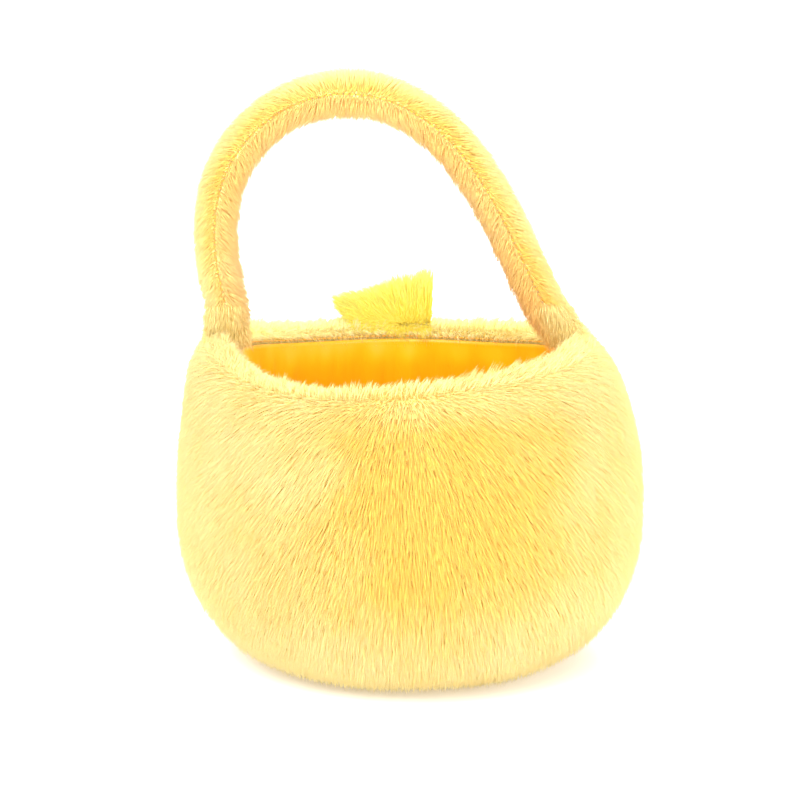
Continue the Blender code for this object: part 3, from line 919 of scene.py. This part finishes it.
def seams():
    around = np.linspace(0, 2 * math.pi, 361)
    rim = placed(MOUTH_R + THREAD_R + RIM_SEAM_IN, THROAT_Z + THREAD_R + GAP + RIM_SEAM_UP, around)
    stitched_seam("rim_stitches", rim, THREAD_R, "tub", "rim_seam_thread")
    foot = placed(FOOT_R - THREAD_R, 4 * MM, around)
    stitched_seam("base_stitches", foot, THREAD_R, "tub", "base_seam_thread")
    floor_ring = placed(LINING_FOOT_R - FINE_THREAD_R, LINING_FLOOR_Z + 0.4 * MM, around)
    stitched_seam("lining_base_stitches", floor_ring, FINE_THREAD_R, "tub", "lining_base_seam_thread")
    outline = sunk(lining_outline(80), 0.4 * MM)[2:-2]
    fur_seam = sunk(fur_outline(80), 4 * MM)[4:-24]
    for side, theta in (("left", math.pi), ("right", 0.0)):
        up = placed(outline[:, 0], outline[:, 1], theta)
        stitched_seam("lining_%s_stitches" % side, up, FINE_THREAD_R, "tub", "lining_%s_seam_thread" % side)
        up = placed(fur_seam[:, 0], fur_seam[:, 1], theta)
        stitched_seam("%s_side_stitches" % side, up, THREAD_R, "tub", side + "_side_seam_thread")
    line = handle_line(SEAM_STEPS)[0]
    flat = handle_flat(line)
    seam_y = HANDLE_CORE - GROOVE_DEPTH
    for name, side in (("back", -1), ("front", 1)):
        route = line + np.array([0, side * seam_y, 0]) * flat[:, None]
        stitched_seam("handle_%s_stitches" % name, route[1:-1], THREAD_R, "handle",
                      "handle_%s_seam_thread" % name)


# The handle

def handle_line(count):
    """The arch's centre line from the left root to the right one, with its tangents and outward sides."""
    angle = np.linspace(0, math.pi, 1400)
    share = np.sin(angle).clip(0, None) ** (2 / HANDLE_POWER)
    share[0] = share[-1] = 0
    centre = HANDLE_X + HANDLE_LEAN * (1 - (1 - share) ** LEAN_POWER)
    half = HANDLE_SPAN * np.cos(angle) * (1 - HANDLE_TAPER * share ** TAPER_POWER)
    z = HANDLE_Z + HANDLE_LIFT + HANDLE_RISE * share
    line = spaced(np.stack([centre - half, 0 * z, z], axis=1), count)
    along = np.gradient(line, axis=0)
    along /= np.linalg.norm(along, axis=1)[:, None]
    along[0], along[-1] = (0, 0, 1), (0, 0, -1)
    return line, along, np.cross(along, np.array([0.0, 1.0, 0.0]))


def handle_flat(line):
    """The handle's thickness along its line, as a share of the full one: it is pressed flat at its ends."""
    run = np.concatenate([[0], np.cumsum(np.linalg.norm(np.diff(line, axis=0), axis=1))])
    return HANDLE_FLAT + (1 - HANDLE_FLAT) * smooth(np.minimum(run, run[-1] - run) / HANDLE_END)


def handle_grid(radius, start, end, rows=150, columns=HANDLE_COLUMNS):
    """Part of a tube round the handle's line, between two angles where 0 is the arch's outer side."""
    line, along, out = handle_line(rows)
    flat = handle_flat(line)
    angle = np.radians(np.linspace(start, end, columns))
    away = out[:, None] * np.cos(angle)[None, :, None]
    fore = np.array([0.0, -1.0, 0.0]) * np.sin(angle)[None, :, None] * flat[:, None, None]
    grid = line[:, None] + radius * (away + fore)
    return grid, along, out


def handle():
    """Two fur strips round a roll of stuffing: the outer one is combed out, the inner one in."""
    strips = (("outer", -90, 90, "handle_outer_strip"), ("inner", 90, 270, "handle_inner_strip"))
    for name, start, end, node in strips:
        grid, along, out = handle_grid(HANDLE_CORE, start + STRIP_GAP, end - STRIP_GAP)
        inner = handle_grid(HANDLE_BORE + GAP, start + STRIP_GAP, end - STRIP_GAP)[0]
        backing = add_piece(shell_piece("handle_%s_backing" % name, grid, inner, materials["backing"]),
                            "handle")
        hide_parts(node)
        skin = handle_grid(HANDLE_CORE, start, end)[0]
        angle = np.radians(np.linspace(start, end, HANDLE_COLUMNS))
        normal = outward(skin)
        towards = out[:, None] if name == "outer" else -out[:, None]
        rows = skin.shape[0]
        run = np.linspace(0, 1, rows)[:, None, None]
        down = np.where(run < 0.5, -1.0, 1.0) * smooth(np.abs(run - 0.5) / 0.10) * along[:, None]
        slope = 1.15 if name == "outer" else 1.0
        comb = towards + down * slope
        comb = comb - normal * np.sum(comb * normal, axis=2, keepdims=True)
        comb /= np.maximum(np.linalg.norm(comb, axis=2, keepdims=True), 0.5)
        groove = np.abs(np.cos(angle))[None, :]
        shaggy = 1.0 if name == "outer" else 1.12
        stand = (4.6 * MM * shaggy) * (0.66 + 0.34 * smooth(groove / 0.6)) + 0 * skin[..., 0]
        tufts = 1 + (0.10 if name == "outer" else 0.24) * lumps(skin, 9 * MM, 1.0)
        stand = stand * tufts
        comb = comb * (6.6 * MM * (0.35 + 0.65 * smooth(groove / 0.45)))[..., None]
        leg = 1 - smooth((skin[..., 2] - 0.18) / 0.06)
        left = smooth((HANDLE_X - skin[..., 0]) / 0.05)
        # Painted light: the outer strip is pale where it faces outwards and golden near its seams, which is
        # painted shade in the groove. The inner strip is golden, which is painted shade. The lower left leg
        # is paler, a painted highlight where the key light falls.
        warm = (0.92 - 0.78 * smooth(groove / 0.85)) if name == "outer" else 0.95 - 0.25 * groove
        warm = warm - 0.45 * leg * left
        fur = grown_fur("handle_%s_fur" % name, "handle", skin, comb, stand, warm, 131 + len(name),
                        material="handle_fur" if name == "inner" else "body_fur",
                        guard_density=0.95e6, under_density=1.9e6, lock_size=6 * MM,
                        lock_pull=0.12 if name == "outer" else 0.25, ruffle=1.1 * MM)
        length = float(np.linalg.norm(np.diff(handle_line(rows)[0], axis=0), axis=1).sum())
    stuffed_core()


def stuffed_core():
    """The roll of stuffing, closed at both ends."""
    grid = handle_grid(HANDLE_BORE - GAP, 0, 360, 120)[0][:, :-1]
    rows, columns = grid.shape[:2]
    vertices = list(grid.reshape(-1, 3)) + [grid[0].mean(axis=0), grid[-1].mean(axis=0)]
    faces = grid_faces(rows, columns, joined=True)
    last = (rows - 1) * columns
    for j in range(columns):
        k = (j + 1) % columns
        faces.append((rows * columns, k, j))
        faces.append((rows * columns + 1, last + j, last + k))
    core = add_piece(piece_of("handle_core", vertices, faces, materials["foam"]), "handle")
    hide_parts("handle_stuffing")


def cuffs():
    """A short collar of fur at each root, sewn to the tab below and to the handle above."""
    line, along = handle_line(SEAM_STEPS)[:2]
    for name, end, step in (("left", 0, 1), ("right", -1, -1)):
        top = line[end] + 9 * MM * along[end] * step
        top[0] = line[end + step * 5][0]
        side = -1 if name == "left" else 1
        foot = placed(RIM_R - 2.5 * MM, HANDLE_Z - 10 * MM, math.pi if side < 0 else 0.0)
        rows, columns = 14, 33
        t = np.linspace(0, 1, rows)[:, None, None]
        middle = foot * (1 - t) + top * t
        angle = np.linspace(0, 2 * math.pi, columns)[None, :, None]
        wide, deep = 9.4 * MM - 1.2 * MM * t, 4.2 * MM + 0.4 * MM * t
        grid = middle + np.concatenate([np.cos(angle) * wide, np.sin(angle) * deep, 0 * angle * t], axis=2)
        inner = middle + np.concatenate([
            np.cos(angle) * (wide - CUFF_THICK), np.sin(angle) * (deep - CUFF_THICK), 0 * angle * t], axis=2)
        normal = outward(grid)
        down = np.array([0.0, 0.0, -1.0]) + 0 * grid
        comb = (down - normal * np.sum(down * normal, axis=2, keepdims=True)) * 6 * MM
        collar = tube_piece(name + "_cuff_backing", grid[:, :-1], inner[:, :-1], materials["backing"])
        fur = fur_mesh(name + "_cuff_fur", grid, comb, 4.9 * MM, 0.12, 171 + end,
                       guard_density=0.9e6, under_density=2.2e6, lock_pull=0.2)
        for piece in (collar, fur):
            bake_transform(piece)


def tube_piece(name, outer, inner, material):
    """A closed tube wall between two grids whose rows are rings."""
    rows, columns = outer.shape[:2]
    count = rows * columns
    faces = grid_faces(rows, columns, joined=True)
    faces += grid_faces(rows, columns, count, flipped=True, joined=True)
    last = (rows - 1) * columns
    for j in range(columns):
        k = (j + 1) % columns
        faces.append((j, j + count, k + count, k))
        faces.append((last + k, last + k + count, last + j + count, last + j))
    return piece_of(name, np.concatenate([outer.reshape(-1, 3), inner.reshape(-1, 3)]), faces, material)


# The tuft

TUFT_FOLD = 80  # degrees that its backing turns down on each side
TUFT_BACKING = 0.9 * MM


def tuft():
    """A fan of long pile swept to the left, on a narrow folded strip of backing, and a stray lock."""
    left, right = -29 * MM, 11 * MM
    fold_r, fold_z = 3.8 * MM, TUFT_HINGE.z - 1.8 * MM
    across, deep = np.meshgrid(np.linspace(0, 1, 75), np.linspace(-1, 1, 21))
    turn = np.radians(TUFT_FOLD) * deep
    x = left + (right - left) * across
    grid = np.stack([x, TUFT_HINGE.y + fold_r * np.sin(turn), fold_z - fold_r * (1 - np.cos(turn))], axis=-1)
    normal = np.stack([0 * x, np.sin(turn), np.cos(turn)], axis=-1)
    reach = across + 0.03 * deep + lumps(grid, 6 * MM, 0.05)
    knots = [0, 0.12, 0.3, 0.55, 0.8, 1.0]
    tip_x = np.interp(reach, knots, [-41 * MM, -38 * MM, -30 * MM, -15 * MM, 3 * MM, 13 * MM])
    tip_z = np.interp(reach, knots, [8 * MM, 13 * MM, 17 * MM, 22 * MM, 26.5 * MM, 26.5 * MM])
    rise = np.stack([tip_x - x, deep * 6 * MM, tip_z * (1 + lumps(grid, 5 * MM, 0.12))], axis=-1)
    front = smooth((-0.3 - deep) / 0.6)[..., None]
    over_lip = np.stack([0.3 * (tip_x - x), -6 * MM + 0 * x, -2 * MM + 0 * x], axis=-1)
    comb = rise * (1 - front) + over_lip * front
    stand = np.maximum(np.sum(comb * normal, axis=-1), 2 * MM)
    fan = grown_fur("tuft_fur", "tuft", grid, comb, stand, 0.45 + 0.4 * front[..., 0], 211,
                    material="tuft_fur", guard_hair=long_hair, guard_density=13e6, under_density=9e6,
                    guard_width=0.42 * MM, under_width=0.7 * MM, lock_size=5 * MM, lock_pull=0.25,
                    ruffle=7.5 * MM)
    strip = shell_piece("tuft_backing", grid, grid - TUFT_BACKING * normal, materials["backing"])
    add_piece(strip, "tuft")
    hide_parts("tuft")
    across, up = np.meshgrid(np.linspace(0, 1, 12), np.linspace(0, 1, 6))
    grid = np.stack([-14 * MM + 6 * MM * across, TUFT_HINGE.y - 5.6 * MM + 0 * up,
                     fold_z - 5 * MM + 3 * MM * up], axis=-1)
    comb = np.stack([12 * MM - 4 * MM * across, 0 * up, -4 * MM - 1 * MM * across], axis=-1)
    grown_fur("tuft_lock", "tuft", grid, comb, 3.2 * MM * (1 - 0.4 * across), 0.1, 223, material="tuft_fur",
              guard_hair=long_hair, guard_density=3.2e6, under_density=1e6, guard_width=0.4 * MM,
              lock_size=9 * MM, lock_pull=0.3, ruffle=1.6 * MM)


def carried_over():
    """Finishes for the pieces of the frame that stay: the board, the tabs and the tape."""
    for name, finish in (("base_board", "board"), ("left_handle_tab", "webbing"),
                         ("right_handle_tab", "webbing"), ("tuft_tape", "webbing")):
        for place in frame["nodes"][name].material_slots:
            place.material = materials[finish]


# Studio

SKY_STRENGTH = 1.31
LIGHTS = (("key_light", (-0.5, -1.0, 1.1), 24.0), ("fill_light", (0.9, -1.2, 0.35), 17.0),
          ("back_light", (0.1, 1.1, 1.1), 26.0))
LIGHT_SIZE = 1.0
LIGHT_AIM = Vector((0, 0, 0.12))
FLOOR_HALF = 6.0
FLOOR_GLOW = 0.22  # keeps the floor pale under the basket
CAMERA_AIM = Vector((-5.0 * MM, 0, 129.9 * MM))
CAMERA_RISE = math.radians(12)
CAMERA_DISTANCE = 1.2


def studio():
    scene = bpy.context.scene
    world = bpy.data.worlds.new("studio")
    scene.world = world
    world.use_nodes = True
    world.node_tree.nodes["Background"].inputs["Color"].default_value = (1, 1, 1, 1)
    world.node_tree.nodes["Background"].inputs["Strength"].default_value = SKY_STRENGTH
    scene.view_settings.view_transform = "Standard"
    scene.view_settings.look = "None"
    floor_material, tree = new_material("pale_floor", rgba(0.95, 0.95, 0.95))
    tree.finish(base_color=rgba(0.93, 0.93, 0.93), roughness=0.9, emission_color=rgba(1, 1, 1),
                emission_strength=FLOOR_GLOW)
    corners = [(FLOOR_HALF * x, FLOOR_HALF * y, 0) for x, y in ((-1, -1), (1, -1), (1, 1), (-1, 1))]
    floor = piece_of("floor", corners, [(0, 1, 2, 3)], floor_material)
    for name, place, energy in LIGHTS:
        light = bpy.data.lights.new(name, "AREA")
        light.energy = energy
        light.size = LIGHT_SIZE
        made = bpy.data.objects.new(name, light)
        made.location = place
        made.rotation_euler = (LIGHT_AIM - Vector(place)).to_track_quat("-Z", "Y").to_euler()
        scene.collection.objects.link(made)


def camera():
    """A long lens a little above the rim, looking at the basket's back."""
    lens = bpy.data.cameras.new("camera")
    lens.lens = 108
    lens.sensor_width = 36
    made = bpy.data.objects.new("camera", lens)
    direction = Vector((0, math.cos(CAMERA_RISE), -math.sin(CAMERA_RISE)))
    made.location = CAMERA_AIM - direction * CAMERA_DISTANCE
    made.rotation_euler = direction.to_track_quat("-Z", "Y").to_euler()
    bpy.context.scene.collection.objects.link(made)
    bpy.context.scene.camera = made


materials = {
    "body_fur": fur_material("body_fur", (rgba(1.0, 0.86, 0.40), rgba(1.0, 0.92, 0.54)),
                             (rgba(0.97, 0.60, 0.07), rgba(1.0, 0.70, 0.14)), rgba(1.0, 0.86, 0.36),
                             rgba(1.0, 0.86, 0.34)),
    # A paler copy of body_fur with a stronger painted glow, which lifts the shade on the far rim's lip
    "rim_fur": fur_material("rim_fur", (rgba(1.0, 0.92, 0.46), rgba(1.0, 0.95, 0.56)),
                            (rgba(1.0, 0.80, 0.20), rgba(1.0, 0.86, 0.30)), rgba(1.0, 0.92, 0.46),
                            rgba(1.0, 0.94, 0.52), glow_strength=RIM_GLOW),
    "handle_fur": fur_material("handle_fur", (rgba(1.0, 0.82, 0.38), rgba(1.0, 0.90, 0.52)),
                               (rgba(0.98, 0.62, 0.13), rgba(1.0, 0.76, 0.27)), rgba(1.0, 0.82, 0.38),
                               rgba(1.0, 0.86, 0.44)),
    "tuft_fur": fur_material("tuft_fur", (rgba(1.0, 0.80, 0.04), rgba(1.0, 0.98, 0.40)),
                             (rgba(1.0, 0.68, 0.01), rgba(1.0, 0.93, 0.14)), rgba(1.0, 0.95, 0.18),
                             rgba(1.0, 0.92, 0.20)),
    "backing": backing_material(),
    "satin_lining": satin_material(),
    "thread": thread_material(),
    "webbing": webbing_material(),
    "foam": foam_material(),
    "board": board_material(),
}
guard_hair = hair_object("guard_hair", 2, 1.6)
under_hair = hair_object("under_hair", 1, 1.0)
long_hair = hair_object("long_hair", 3, 1.5)
pile = pile_tree()
stitches = stitch_tree()

studio()
camera()
tub_fur()
lining()
handle()
cuffs()
tuft()
seams()
carried_over()
